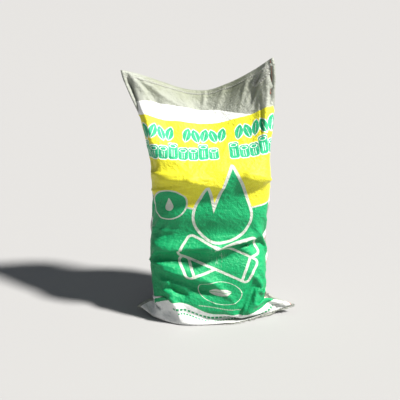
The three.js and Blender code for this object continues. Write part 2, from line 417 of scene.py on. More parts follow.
# %% Write the settling cloth
class Cloth:
    """A tube of cloth as a grid of points [row, column, xyz], with its threads at their flat lengths."""

    def __init__(self, grid):
        self.grid = np.ascontiguousarray(grid)
        self.points = self.grid.reshape(-1, 3)
        self.before = self.points.copy()
        self.up, self.round = grid.shape[0] - 1, grid.shape[1]
        self.across = self.round // 2
        g = self.grid
        wide = FLAT_WIDTH / self.across
        column = np.arange(self.round)
        is_front = (column > 0) & (column < self.across)
        tall = FLAT_LENGTH / self.up * np.where(is_front, FRONT_TAKE_UP, 1.0)
        slant = np.hypot(wide, tall)
        self.threads = [
            (g[:, 0::2], g[:, 1::2], wide, 1.0),
            (g[:, 1:-1:2], g[:, 2::2], wide, 1.0),
            (g[:, -1:], g[:, :1], wide, 1.0),
        ]
        for start in (0, 1):
            count = (self.up + 1 - start) // 2
            low, high = g[start::2][:count], g[start + 1 :: 2][:count]
            self.threads += [
                (low, high, tall, 1.0),
                (low[:, :-1], high[:, 1:], slant[:-1], 0.5),
                (low[:, -1:], high[:, :1], slant[-1:], 0.5),
                (low[:, 1:], high[:, :-1], slant[1:], 0.5),
                (low[:, :1], high[:, -1:], slant[:1], 0.5),
            ]

    def pull_threads(self):
        """Brings every thread back towards its flat length, and resists a push half as hard as a pull."""
        for a, b, flat, strength in self.threads:
            d = b - a
            stretch = 1 - flat / (np.sqrt(np.einsum("...i,...i->...", d, d)) + 1e-12)
            d *= (0.5 * strength * np.where(stretch > 0, 1.0, 0.5) * stretch)[..., None]
            a += d
            b -= d

    def stiffen(self, amount, limit):
        """Rounds off sharp bends, gently, round the tube and along it."""
        g = self.grid
        bend = 0.5 * (np.roll(g, 1, 1) + np.roll(g, -1, 1)) - g
        bend *= (amount * np.minimum(1, limit / (np.linalg.norm(bend, axis=-1) + 1e-12)))[..., None]
        g += bend
        g -= 0.5 * (np.roll(bend, 1, 1) + np.roll(bend, -1, 1))
        bend = 0.5 * (g[2:] + g[:-2]) - g[1:-1]
        bend *= (amount * np.minimum(1, limit / (np.linalg.norm(bend, axis=-1) + 1e-12)))[..., None]
        g[1:-1] += bend
        g[2:] -= 0.5 * bend
        g[:-2] -= 0.5 * bend


NECK_LEFT = [(0.45, -0.190), (0.53, -0.190), (0.60, -0.200), (0.65, -0.222), (0.70, -0.243), (0.76, -0.262)]
NECK_RIGHT = [(0.45, 0.182), (0.53, 0.181), (0.60, 0.182), (0.65, 0.186), (0.70, 0.186), (0.79, 0.182)]


def settle(cloth, field, steps, rounds, gravity, bend_limit, cling, shake):
    """Lets the cloth settle on the pack."""
    rng = np.random.default_rng(4)
    grid, points = cloth.grid, cloth.points
    mouth, bottom = grid[-1].copy(), grid[0].copy()
    height = np.linspace(0, 1, cloth.up + 1)
    # The front lies above the back at the bottom edge, and before it higher up.
    turn = np.clip(height / 0.08, 0, 1) * np.pi / 2
    ahead = np.stack([np.zeros_like(turn), -np.sin(turn), np.cos(turn)], -1)
    front = np.arange(1, cloth.across)
    behind = cloth.round - front
    close = 0.25 * np.clip((height - 0.86) / 0.14, 0, 1)[:, None] ** 1.5
    for step in range(steps):
        moved = 0.97 * (points - cloth.before)
        cloth.before[:] = points
        points += moved
        points[:, 2] -= gravity
        if step < steps // 3:
            points += rng.normal(0, shake, points.shape)
        for _ in range(rounds):
            cloth.pull_threads()
            cloth.stiffen(0.1, bend_limit)
            grid[-1], grid[0] = mouth, bottom
        gap = np.einsum("jik,jk->ji", grid[:, front] - grid[:, behind], ahead)
        push = np.maximum(0, 2 * CLOTH_GAP - gap) - close * np.maximum(0, gap - 2 * CLOTH_GAP)
        push = 0.5 * push[..., None] * ahead[:, None]
        grid[:, front] += push
        grid[:, behind] -= push
        distance, outward = read_field(field, points)
        hit = distance < CLOTH_GAP
        points[hit] += (CLOTH_GAP - distance[hit])[:, None] * outward[hit]
        z = points[:, 2]
        near = ~hit & (distance < 0.03) & (z > 0.03) & (z < PACK_TOP - 0.01)
        points[near] -= (cling * (distance[near] - CLOTH_GAP))[:, None] * outward[near]
        neck = z > 0.47
        left = smooth_curve(NECK_LEFT, z[neck])[:, 0]
        right = smooth_curve(NECK_RIGHT, z[neck])[:, 0]
        x = points[neck, 0]
        points[neck, 0] = x + 0.3 * (np.clip(x, left, right) - x)
        on_floor = z < 0.0012
        points[on_floor, 2] = 0.0012
        grid[-1], grid[0] = mouth, bottom
        grips = (distance < 1.5 * CLOTH_GAP) | on_floor
        cloth.before[grips] += 0.9 * (points[grips] - cloth.before[grips])


def twice_as_fine(grid):
    """The same cloth with twice as many squares each way."""
    wide = np.empty((grid.shape[0], 2 * grid.shape[1], 3))
    wide[:, 0::2] = grid
    wide[:, 1::2] = 0.5 * (grid + np.roll(grid, -1, 1))
    fine = np.empty((2 * grid.shape[0] - 1, wide.shape[1], 3))
    fine[0::2] = wide
    fine[1::2] = 0.5 * (wide[1:] + wide[:-1])
    return fine


# %% Run it, coarse first and then fine
cloth = Cloth(laid)
settle(cloth, pack_field, steps=200, rounds=6, gravity=2e-5, bend_limit=2e-3, cling=0.05, shake=2e-4)
cloth = Cloth(twice_as_fine(cloth.grid))
settle(cloth, pack_field, steps=70, rounds=8, gravity=1e-5, bend_limit=1e-3, cling=0.03, shake=0)
cloth_grid = cloth.grid
cloth_low, cloth_high = cloth.points.min(0), cloth.points.max(0)
print("the settled cloth spans", np.round(cloth_low, 3), "to", np.round(cloth_high, 3))

# %% [markdown]
# ## Creases
#
# Settled cloth has soft folds, but woven plastic also takes sharp creases that stay. They could be painted
# as bumps only, and then the outline and the highlights would miss them. Here each one is a narrow ridge
# pressed into the grid itself, given by its two ends on the flat front. The named ones fan out from the two
# top corners and cross the front where the pack narrows. After them come many small random ones, as a sack
# gets from handling.

# %% Press the creases into the cloth
# Each row is two ends on the flat front in millimetres, the half width in millimetres and the height.
CREASES = [
    ((24, 860), (123, 763), 10, 5.0),
    ((34, 862), (183, 796), 9, 4.0),
    ((32, 850), (83, 720), 8, 4.6),
    ((64, 812), (96, 670), 9, 4.4),
    ((93, 815), (132, 740), 8, 3.0),
    ((19, 825), (44, 670), 9, 5.0),
    ((478, 854), (395, 762), 9, 4.2),
    ((476, 836), (413, 640), 9, 5.6),
    ((448, 854), (376, 778), 8, 4.0),
    ((483, 815), (445, 660), 8, 4.8),
    ((408, 848), (360, 770), 9, 3.0),
    ((436, 790), (415, 620), 8, -3.6),
    ((263, 863), (255, 806), 7, 5.0),
    ((187, 862), (212, 781), 10, 2.0),
    ((328, 860), (288, 784), 12, 2.6),
    ((66, 577), (208, 576), 9, 3.8),
    ((208, 576), (271, 552), 8, 3.2),
    ((208, 576), (195, 632), 7, 2.2),
    ((208, 576), (155, 628), 7, 2.2),
    ((208, 576), (244, 612), 7, 2.0),
    ((50, 518), (175, 531), 9, 3.2),
    ((175, 531), (244, 545), 8, 2.2),
    ((352, 574), (384, 568), 10, 3.0),
    ((384, 568), (448, 537), 10, 4.0),
    ((93, 315), (186, 323), 9, 3.8),
    ((186, 323), (300, 330), 9, 4.2),
    ((300, 330), (414, 352), 9, 3.6),
    ((47, 280), (181, 239), 8, 4.0),
    ((55, 263), (170, 224), 7, 3.2),
    ((181, 239), (268, 188), 8, 3.4),
    ((101, 271), (228, 261), 8, 2.8),
    ((44, 231), (143, 184), 8, 4.2),
    ((143, 184), (187, 143), 8, 3.4),
    ((69, 187), (155, 131), 9, 3.6),
    ((117, 234), (129, 134), 8, 3.4),
    ((397, 188), (367, 117), 9, 3.8),
    ((367, 117), (340, 55), 9, 3.8),
    ((425, 258), (396, 169), 8, 2.8),
    ((40, 391), (169, 382), 10, 2.6),
    ((250, 358), (348, 357), 10, 2.2),
]
CREASE_STRENGTH = 1.45  # makes all of them deeper or shallower at once
SMALL_CREASES = 520


def crease_height(x, y, start, end, half_width, height):
    """How far one crease lifts the cloth at x and y on the flat sack, all in millimetres."""
    length = math.hypot(end[0] - start[0], end[1] - start[1])
    along_x, along_y = (end[0] - start[0]) / length, (end[1] - start[1]) / length
    s = (x - start[0]) * along_x + (y - start[1]) * along_y
    d = np.abs((y - start[1]) * along_x - (x - start[0]) * along_y) / half_width
    ridge = np.clip(1 - d, 0, 1) ** 1.4
    fade = np.clip(np.minimum(s, length - s) / (0.3 * length) + 0.35, 0, 1)
    return height * ridge * fade


def outward_of(grid):
    """The outward direction of a tube of cloth at each of its points."""
    round_it = np.roll(grid, -1, 1) - np.roll(grid, 1, 1)
    along = np.empty_like(grid)
    along[1:-1] = grid[2:] - grid[:-2]
    along[0], along[-1] = grid[1] - grid[0], grid[-1] - grid[-2]
    out = np.cross(round_it, along)
    return out / (np.linalg.norm(out, axis=-1, keepdims=True) + 1e-12)


row_count, column_count = cloth_grid.shape[:2]
flat_y, flat_x = np.meshgrid(
    np.linspace(0, 1000 * FLAT_LENGTH, row_count),
    np.arange(column_count) / column_count * 2000 * FLAT_WIDTH,
    indexing="ij",
)
lift = CREASE_STRENGTH * sum(crease_height(flat_x, flat_y, *crease) for crease in CREASES)
rng = np.random.default_rng(11)
for _ in range(SMALL_CREASES):
    x, y = rng.uniform(0, 2000 * FLAT_WIDTH), rng.uniform(60, 830)
    turn = rng.normal(0, 0.5) + (np.pi / 2 if y > 610 else 0)
    reach = rng.uniform(12, 45)
    end = (x + reach * math.cos(turn), y + reach * math.sin(turn))
    lift += crease_height(flat_x, flat_y, (x, y), end, rng.uniform(5.5, 10), rng.uniform(0.5, 2.0))
# The sewn edges keep their line.
lift *= np.clip((flat_y - 3) / 14, 0, 1) * np.clip((1000 * FLAT_LENGTH + 2 - flat_y) / 12, 0, 1)
sack_grid = cloth_grid + outward_of(cloth_grid) * (lift / 1000)[..., None]
sack_outward = outward_of(sack_grid)
print(len(CREASES) + SMALL_CREASES, "creases lift the cloth by up to", round(float(lift.max()), 1), "mm")

# %% [markdown]
# ## The sack as one closed mesh
#
# A grid of points has no thickness. The sack gets an outer and an inner skin a little way apart, joined at
# the mouth and at the bottom edge. The top of the tube is folded over into a hem, so it is thicker there.
# Every corner of every face also remembers its place on the flat sack as a UV, because the print was made
# on the flat cloth.

# %% Build the sack
CLOTH_THICKNESS = 0.0008
HEM_WIDTH = 24
HEM_THICKNESS = 0.0014


def tube_mesh(name, outer, inner):
    """A closed mesh from the outer and inner skins of a tube, with its flat UV."""
    rows, columns = outer.shape[:2]
    across = np.arange(columns)
    onward = (across + 1) % columns
    low = np.arange(rows - 1)[:, None] * columns
    outside = np.stack([low + across, low + onward, low + columns + onward, low + columns + across], -1)
    inside = outside[..., ::-1] + rows * columns
    top = (rows - 1) * columns
    bottom_rim = np.stack([onward, across, across + rows * columns, onward + rows * columns], -1)
    top_rim = np.stack([across, onward, onward + rows * columns, across + rows * columns], -1) + top
    faces = np.concatenate([part.reshape(-1, 4) for part in (outside, inside, bottom_rim, top_rim)])
    mesh = bpy.data.meshes.new(name)
    points = np.concatenate([outer.reshape(-1, 3), inner.reshape(-1, 3)])
    mesh.from_pydata(points.tolist(), [], faces.tolist())
    column = faces % columns
    # The last column of faces closes the tube, so its far side is at 1 and not at 0.
    closing = (column.max(1) - column.min(1)) > 1
    column = np.where(closing[:, None] & (column == 0), columns, column)
    row = (faces % (rows * columns)) // columns
    flat = np.stack([column / columns, row / (rows - 1)], -1)
    mesh.uv_layers.new(name="flat").data.foreach_set("uv", flat.ravel().astype(np.float32))
    mesh.polygons.foreach_set("use_smooth", np.ones(len(faces), bool))
    mesh.update()
    return mesh


hem = (flat_y > 1000 * FLAT_LENGTH - HEM_WIDTH)[..., None]
outer_skin = sack_grid + sack_outward * np.where(hem, HEM_THICKNESS, CLOTH_THICKNESS / 2)
inner_skin = sack_grid - sack_outward * CLOTH_THICKNESS / 2
outer_skin[..., 2] = np.maximum(outer_skin[..., 2], 0.0004)
inner_skin[..., 2] = np.maximum(inner_skin[..., 2], 0.0006)
woven_sack = add_object("woven_sack", tube_mesh("woven_sack", outer_skin, inner_skin))
print("the sack has", 2 * len(woven_sack.data.polygons), "triangles")

# %% [markdown]
# ## Thread and loose ends
#
# The mouth and the bottom are closed by a bag-closing machine. It makes a chain of loops on one side and a
# plain dash on the other. Each loop is real geometry here: a thin tube bent to a teardrop, which starts
# inside the one before. At the right end the machine runs on and leaves a tail of chain, which is caught
# back under the hem.

# %% A tube along a line, and a point on the cloth
def tube(line, radius, sides=6):
    """The points and faces of a thin round tube along a line, closed at both ends."""
    line = np.asarray(line, float)
    along = np.gradient(line, axis=0)
    along /= np.linalg.norm(along, axis=1, keepdims=True) + 1e-12
    side = np.cross(along, (0.31, 0.52, 0.79))
    side /= np.linalg.norm(side, axis=1, keepdims=True) + 1e-12
    up = np.cross(along, side)
    turn = np.arange(sides) * 2 * np.pi / sides
    across = np.cos(turn)[:, None] * side[:, None] + np.sin(turn)[:, None] * up[:, None]
    rings = line[:, None] + radius * across
    count = len(line)
    faces = [
        (r * sides + k, r * sides + (k + 1) % sides, (r + 1) * sides + (k + 1) % sides, (r + 1) * sides + k)
        for r in range(count - 1)
        for k in range(sides)
    ]
    faces.append(tuple(reversed(range(sides))))
    faces.append(tuple((count - 1) * sides + k for k in range(sides)))
    return rings.reshape(-1, 3), faces


def join_tubes(name, tubes):
    """One object made of many tubes."""
    points, faces = [], []
    for tube_points, tube_faces in tubes:
        faces += [tuple(k + len(points) for k in face) for face in tube_faces]
        points += tube_points.tolist()
    mesh = bpy.data.meshes.new(name)
    mesh.from_pydata(points, [], faces)
    mesh.polygons.foreach_set("use_smooth", np.ones(len(faces), bool))
    mesh.update()
    return add_object(name, mesh)


def on_cloth(x, y, above=0.0):
    """Points on the outside of the sack, from flat millimetres. The back runs on from x = 508."""
    column = np.asarray(x, float) / (2000 * FLAT_WIDTH) * column_count
    row = np.clip(np.asarray(y, float) / (1000 * FLAT_LENGTH) * (row_count - 1), 0, row_count - 1.001)
    c, r = np.floor(column).astype(int), row.astype(int)
    s, t = (column - c)[..., None], (row - r)[..., None]
    c, onward = c % column_count, (c + 1) % column_count

    def read(grid):
        low = grid[r, c] * (1 - s) + grid[r, onward] * s
        return low * (1 - t) + (grid[r + 1, c] * (1 - s) + grid[r + 1, onward] * s) * t

    return read(outer_skin) + read(sack_outward) * np.asarray(above)[..., None]


# %% Sew the two seams
THREAD = 0.00045
STITCH = 7.4  # from one loop to the next, in millimetres like all that is sewn or printed
CHAIN_WIDTH = 3.2
TAIL_WIDTH = 5.0
MOUTH_SEAM, BOTTOM_SEAM = 850, 20
LOOP_END = 1.22
LOOP_RIGHT = [(0, 0), (0.3, 0.6), (0.75, 1), (1.1, 0.6), (LOOP_END, 0)]
LOOP_LEFT = [(1.1, -0.6), (0.75, -1), (0.3, -0.6), (0.05, -0.05)]
LOOP_SHAPE = np.array(LOOP_RIGHT + LOOP_LEFT)


def chain(path, heading, width, lift=0.0005):
    """Loops of a chain stitch along a path on the flat cloth, each turned to the path's heading there."""
    loops = []
    for (x, y), (along_x, along_y) in zip(path, heading):
        s, w = LOOP_SHAPE[:, 0] * STITCH, LOOP_SHAPE[:, 1] * width / 2
        over = lift + 0.0007 * LOOP_SHAPE[:, 0] / LOOP_END
        loop_x, loop_y = x + s * along_x - w * along_y, y + s * along_y + w * along_x
        loops.append(tube(on_cloth(loop_x, loop_y, over), THREAD))
    return loops


def seam(y):
    """The chain on the front and the dashes on the back, all at one height on the flat sack."""
    xs = np.arange(3, 1000 * FLAT_WIDTH - STITCH, STITCH)
    tubes = chain([(x, y) for x in xs], [(1, 0)] * len(xs), CHAIN_WIDTH)
    for x in xs:
        dash = 2000 * FLAT_WIDTH - x - np.linspace(0.08, 0.92, 6) * STITCH
        over = 0.0003 + 0.0004 * np.sin(np.linspace(0.2, np.pi - 0.2, 6))
        tubes.append(tube(on_cloth(dash, np.full(6, float(y)), over), THREAD))
    return tubes


TAIL = [(0.0, 500, 853), (0.2, 474, 848), (0.42, 440, 840), (0.55, 424, 830)]
TAIL += [(0.66, 432, 821), (1.0, 486, 836)]
tail_line = smooth_curve(TAIL, np.linspace(0, 1, 26))
tail_heading = np.gradient(tail_line, axis=0)
tail_heading /= np.linalg.norm(tail_heading, axis=1, keepdims=True)
mouth_tubes = seam(MOUTH_SEAM)
for sideways, lift in ((0, 0.0012), (2.2, 0.0022), (-1.6, 0.003)):
    shifted = tail_line + sideways * tail_heading[:, ::-1] * (-1, 1)
    mouth_tubes += chain(shifted[:-1], tail_heading[:-1], TAIL_WIDTH, lift)
mouth_thread = join_tubes("mouth_thread", mouth_tubes)
bottom_thread = join_tubes("bottom_thread", seam(BOTTOM_SEAM))
tail_length = np.linalg.norm(np.diff(tail_line, axis=0), axis=1).sum()
print("each seam is", round(1000 * FLAT_WIDTH), "mm of chain, and the tail", round(tail_length), "mm more")

# %% [markdown]
# A red yarn is woven in beside the right fold, from end to end, as a mark for the weaver. The cut edge at
# the bottom was never hemmed, so single tapes have worked loose there. Each is a short flat strip with a
# bend.

# %% Lay the marker yarn and fray the bottom edge
YARN = 0.0005
yarn_y = np.linspace(1, 861, 260)
yarn_x = 497 + 0.5 * np.sin(yarn_y / 9)
yarn_line = on_cloth(yarn_x, yarn_y, np.full(len(yarn_y), YARN / 5))
marker_thread = join_tubes("marker_thread", [tube(yarn_line, YARN)])
yarn_length = np.linalg.norm(np.diff(yarn_line, axis=0), axis=1).sum()

TAPE_WIDTH = 0.0022
TAPE_THICKNESS = 0.00025
TAPES = 330


def tape(start, along, sideways, length, sag):
    """The points and faces of one loose tape: a flat bar with three sections."""
    up = np.cross(sideways, along)
    points = []
    for share in (0.0, 0.55, 1.0):
        middle = start + along * length * share - np.array((0, 0, sag * share * share))
        middle[2] = max(middle[2], 0.0007)
        half = sideways * TAPE_WIDTH * (0.5 - 0.12 * share)
        thick = up * TAPE_THICKNESS / 2
        points += [middle - half - thick, middle + half - thick, middle + half + thick, middle - half + thick]
    faces = [(3, 2, 1, 0), (8, 9, 10, 11)]
    for ring in (0, 4):
        faces += [(ring + k, ring + (k + 1) % 4, ring + 4 + (k + 1) % 4, ring + 4 + k) for k in range(4)]
    return np.array(points), faces


rng = np.random.default_rng(23)
tapes = []
for _ in range(TAPES):
    column = int(rng.integers(0, column_count))
    beside = sack_grid[0, (column + 1) % column_count] - sack_grid[0, column]
    sideways = beside / np.linalg.norm(beside)
    start = sack_grid[0, column] + beside * rng.uniform(0, 1)
    along = sack_grid[0, column] - sack_grid[2, column]
    along = along / np.linalg.norm(along) + rng.normal(0, 0.28) * sideways
    along[2] *= 0.3
    along /= np.linalg.norm(along)
    length = 0.002 + rng.gamma(2.0, 0.0017)
    sag = rng.uniform(0, 0.003)
    tapes.append(tape(start - 0.002 * along, along, sideways, length, sag))
frayed_edge = join_tubes("frayed_edge", tapes)
frayed_edge.data.polygons.foreach_set("use_smooth", np.zeros(len(frayed_edge.data.polygons), bool))
print(TAPES, "tapes have worked loose, and the yarn is", round(float(yarn_length), 3), "m long")

# %% [markdown]
# ## Arithmetic for materials
#
# The print is drawn with node arithmetic and not with an image, so its edges stay sharp at any distance.
# Written out node by node that would be very long. So a small class stands for one number inside a
# material: adding or multiplying two of them adds the Math node that does it. Shapes are then distances, as
# they were for the logs: a number that is zero on the shape's edge, and less than zero inside it.

# %% Write the arithmetic
class Value:
    """One number inside a material."""

    def __init__(self, tree, socket):
        self.tree, self.socket = tree, socket

    def math(self, operation, *others):
        node = self.tree.nodes.new("ShaderNodeMath")
        node.operation = operation
        for place, value in enumerate((self,) + others):
            if isinstance(value, Value):
                self.tree.links.new(value.socket, node.inputs[place])
            else:
                node.inputs[place].default_value = value
        return Value(self.tree, node.outputs[0])

    def __rsub__(self, other):
        return (self * -1) + other

    def clamp(self):
        return self.most(0).least(1)

    def smooth(self, start, end):
        """Climbs from 0 at start to 1 at end, and eases in and out."""
        t = ((self - start) / (end - start)).clamp()
        return t * t * (3 - 2 * t)


# over gives 1 where this is greater than the other, and 0 elsewhere.
for word, operation in (
    ("__add__", "ADD"),
    ("__radd__", "ADD"),
    ("__sub__", "SUBTRACT"),
    ("__mul__", "MULTIPLY"),
    ("__rmul__", "MULTIPLY"),
    ("__truediv__", "DIVIDE"),
    ("size", "ABSOLUTE"),
    ("most", "MAXIMUM"),
    ("least", "MINIMUM"),
    ("over", "GREATER_THAN"),
):
    setattr(Value, word, lambda self, *others, operation=operation: self.math(operation, *others))


def length_of(x, y):
    """The length of a line that runs x across and y up."""
    return (x * x + y * y).math("SQRT")


def turned(x, y, degrees):
    """The same place measured on axes turned anticlockwise."""
    c, s = math.cos(math.radians(degrees)), math.sin(math.radians(degrees))
    return x * c + y * s, y * c - x * s


def box_shape(x, y, half_wide, half_tall, rounding):
    """The distance to a box with rounded corners, centred at zero."""
    a, b = x.size() - (half_wide - rounding), y.size() - (half_tall - rounding)
    return length_of(a.most(0), b.most(0)) + a.most(b).least(0) - rounding


def teardrop_shape(x, y, radius, height, tip_radius):
    """The distance to a round drop, centred at zero, that narrows to a tip above."""
    slope = (radius - tip_radius) / height
    level = math.sqrt(1 - slope * slope)
    x = x.size()
    along = y * level - x * slope
    side = x * level + y * slope - radius
    at_tip = along.over(level * height)
    below = 1 - along.over(0)
    side = side + at_tip * (length_of(x, y - height) - tip_radius - side)
    return side + below * (length_of(x, y) - radius - side)


def leaf_shape(x, y, half_length, half_width):
    """The distance to a leaf along x: the overlap of two big circles."""
    rise = (half_length * half_length - half_width * half_width) / (2 * half_width)
    return length_of(x, y.size() + rise) - (rise + half_width)


def inside(distance, soft=0.5):
    """1 inside a shape and 0 outside, with a slightly soft edge."""
    return (0.5 - distance / soft).clamp()


def line_on(distance, width):
    """1 on a shape's edge, drawn with a line of this width."""
    return inside(distance.size() - width / 2)


def from_srgb(red, green, blue):
    """A colour as a shader wants it, from the 0 to 255 of a colour picker."""
    shares = [channel / 255 for channel in (red, green, blue)]
    return tuple([s / 12.92 if s < 0.04045 else ((s + 0.055) / 1.055) ** 2.4 for s in shares] + [1.0])


class Finish:
    """A new material, and short ways to add nodes to it."""

    def __init__(self, name):
        self.material = bpy.data.materials.new(name)
        self.material.use_nodes = True
        self.tree = self.material.node_tree
        self.shader = self.tree.nodes["Principled BSDF"]

    def node(self, kind, output=0, inputs=(), **settings):
        """Adds a node, fills its inputs, and gives back one of its outputs."""
        node = self.tree.nodes.new(kind)
        for setting, value in settings.items():
            setattr(node, setting, value)
        for place, value in dict(inputs).items():
            self.fill(node.inputs[place], value)
        return Value(self.tree, node.outputs[output])

    def fill(self, socket, value):
        if isinstance(value, Value):
            self.tree.links.new(value.socket, socket)
        else:
            socket.default_value = value

    def mixed(self, below, above, share):
        """One colour laid over another."""
        return self.node("ShaderNodeMix", 2, {0: share, 6: below, 7: above}, data_type="RGBA")

    def noise(self, place, scale, detail=3.0, roughness=0.5):
        """Cloudy noise from 0 to 1."""
        inputs = {"Vector": place, "Scale": scale, "Detail": detail, "Roughness": roughness}
        return self.node("ShaderNodeTexNoise", 0, inputs)

    def stretched(self, place, scales):
        """A place with its axes stretched, which gives streaks when noise reads it."""
        return self.node("ShaderNodeMapping", 0, {"Vector": place, "Scale": scales})

    def bumped(self, height, millimetres):
        """Tilts the surface by a height from 0 to 1 that stands this many millimetres proud."""
        inputs = {"Height": height, "Distance": millimetres / 1000, "Strength": 1.0}
        self.fill(self.shader.inputs["Normal"], self.node("ShaderNodeBump", 0, inputs))


print("a material can be written as arithmetic now")

# %% [markdown]
# ## The print
#
# Everything is laid out in millimetres on the flat front, 508 wide and 864 tall, and laid on in the order
# of a printing press: white first, then yellow and green, then the drawing. The maker's words, badge and
# mark aren't copied. A row of leaves and a row of upright logs stand where the two lines of words would be,
# the badge holds a plain drop for dryness, and the oval a leaf.

# %% Measure the flat cloth and lay on the grounds
cloth_finish = Finish("woven_cloth")
flat_place = cloth_finish.node("ShaderNodeUVMap", 0, uv_map="flat")
parts_of_place = cloth_finish.node("ShaderNodeSeparateXYZ", 0, {0: flat_place}).socket.node
X = Value(cloth_finish.tree, parts_of_place.outputs[0]) * (2000 * FLAT_WIDTH)
Y = Value(cloth_finish.tree, parts_of_place.outputs[1]) * (1000 * FLAT_LENGTH)
millimetre_place = cloth_finish.node("ShaderNodeCombineXYZ", 0, {0: X, 1: Y})

YELLOW = from_srgb(228, 222, 50)
GREEN = from_srgb(14, 160, 98)
LETTER_GREEN = from_srgb(36, 176, 122)
WHITE_INK = from_srgb(238, 240, 238)
LINE_WHITE = from_srgb(205, 212, 200)
BARE_CLOTH = from_srgb(158, 162, 152)
# The khaki is painted shade: the dark inside of the sack, showing through the bare cloth near the mouth.
KHAKI_HOLLOW_SHADE = from_srgb(120, 127, 90)

PRINT_LEFT, PRINT_RIGHT = 26, 474
FRONT_MIDDLE = 254
WHITE_HALF_WIDTH = 243
WHITE_TOP, YELLOW_TOP, GREEN_TOP, GREEN_LOW = 795, 748, 446, 118
BAND_LINE = 5

is_front = 1 - X.over(1000 * FLAT_WIDTH)
# Woven tapes slip a little, so no printed edge is quite straight.
waver = (cloth_finish.noise(millimetre_place, 0.03, 2) - 0.5) * 5
across_print = inside((X + waver - (PRINT_LEFT + PRINT_RIGHT) / 2).size() - (PRINT_RIGHT - PRINT_LEFT) / 2)
# Each ground ends at a height that changes across the sack, as the flat sheet was cut a little askew.
white_top = WHITE_TOP - 12 * (1 - X.smooth(20, 110)) - 52 * X.smooth(260, 430) + waver
white_ground = inside(Y - white_top) * inside((X - FRONT_MIDDLE).size() - WHITE_HALF_WIDTH) * is_front
yellow_ground = inside(Y + waver - YELLOW_TOP) * across_print * is_front
green_top = GREEN_TOP + 0.31 * (235 - X).most(0) + 0.19 * (X - 335).most(0)
green_low = GREEN_LOW - 47 * X.smooth(150, 265) - 26 * X.smooth(365, 435)
green_ground = inside(Y - green_top).least(inside(green_low - Y)) * across_print * is_front
yellow_ground = yellow_ground * inside(green_low - Y)
print("the print is", PRINT_RIGHT - PRINT_LEFT, "mm wide, on cloth", round(1000 * FLAT_WIDTH), "mm wide")

# %% Draw the flame, the two crossed logs and the round badge
FLAME_MIDDLE = (294, 428)
FLAME_RADIUS, FLAME_HEIGHT = 86, 169
TONGUE_RADIUS, TONGUE_HEIGHT, TONGUE_LEFT = 52, 99, 34
NOTCH = (269, 455)
TIP_RADIUS = 3
OUTLINE = 8.5
LOG_LINE = 8.2
LOG_CORNER = 14
BADGE_MIDDLE, BADGE_REACH = (134, 475), (56, 49)
OVAL_MIDDLE, OVAL_REACH, OVAL_TILT = (280, 153), (69, 41), -8
OVAL_LEAF_LONG, OVAL_LEAF_WIDE = 38, 14

# The flame is a big drop and a smaller tongue beside it, less a notch cut between them.
fx, fy = X - FLAME_MIDDLE[0], Y - FLAME_MIDDLE[1]
flame_x, flame_y = turned(fx, fy, -8.4)
main_flame = teardrop_shape(flame_x, flame_y, FLAME_RADIUS, FLAME_HEIGHT, TIP_RADIUS)
tongue_x, tongue_y = turned(fx + TONGUE_LEFT, fy, 4.5)
tongue = teardrop_shape(tongue_x, tongue_y, TONGUE_RADIUS, TONGUE_HEIGHT, TIP_RADIUS)
notch_x, notch_y = X - NOTCH[0], Y - NOTCH[1]
# The two cuts of the notch, one leaning each way.
notch = (notch_x * 0.944 - notch_y * 0.330).most(-0.221 * notch_y - notch_x * 0.975)
flame = main_flame.least(tongue).most(notch * -1)


def crossed_log(x, y, tilt, half_long, half_wide, cut_at, cut_lean):
    """A log's outline, and the line where its cut end begins, cut_at from its middle."""
    log_x, log_y = turned(X - x, Y - y, tilt)
    whole = box_shape(log_x, log_y, half_long, half_wide, LOG_CORNER)
    return whole, inside((log_x - cut_at - cut_lean * log_y).size() - LOG_LINE / 2) * inside(whole)


upper_log, upper_cut = crossed_log(283, 277, -28.2, 119, 42, 95, -0.12)
lower_log, lower_cut = crossed_log(290, 282, 18, 122, 39, -96, 0.12)
badge_x, badge_y = (X - BADGE_MIDDLE[0]) / BADGE_REACH[0], (Y - BADGE_MIDDLE[1]) / BADGE_REACH[1]
badge = (length_of(badge_x, badge_y) - 1) * 52
drop = teardrop_shape(X - BADGE_MIDDLE[0] - 2, Y - BADGE_MIDDLE[1] + 9, 13, 28, 1)
oval_x, oval_y = turned(X - OVAL_MIDDLE[0], Y - OVAL_MIDDLE[1], OVAL_TILT)
oval = (length_of(oval_x / OVAL_REACH[0], oval_y / OVAL_REACH[1]) - 1) * 50
leaf_x, leaf_y = turned(oval_x, oval_y, 12)
oval_leaf = leaf_shape(leaf_x, leaf_y, OVAL_LEAF_LONG, OVAL_LEAF_WIDE)
vein = (leaf_y.size() - 0.9).most(leaf_x.size() - OVAL_LEAF_LONG - 2)
print("the flame is", 2 * FLAME_RADIUS, "mm wide")

# %% Draw the two rows that stand for words, and the fine print
LEAF_PITCH, LEAF_START, LEAF_MIDDLE = 25.4, 60, 704
LEAF_LONG, LEAF_WIDE = 23.5, 12.5
STICK_PITCH, STICK_START, STICK_FLOOR = 29.0, 56, 624
SHORT_STICK, TALLER = 19, 6.5
STICK_CORNER = 8
ROW_HALF_WIDTH = 203


def cells(start, pitch):
    """Where X falls in a row of equal cells: the cell's number, and how far X is from its middle."""
    number = ((X - start) / pitch).math("FLOOR")
    return number, X - start - (number + 0.5) * pitch


def is_cell(number, wanted):
    """1 in one cell and 0 in the others."""
    return inside((number - wanted).size() - 0.4, 0.05)


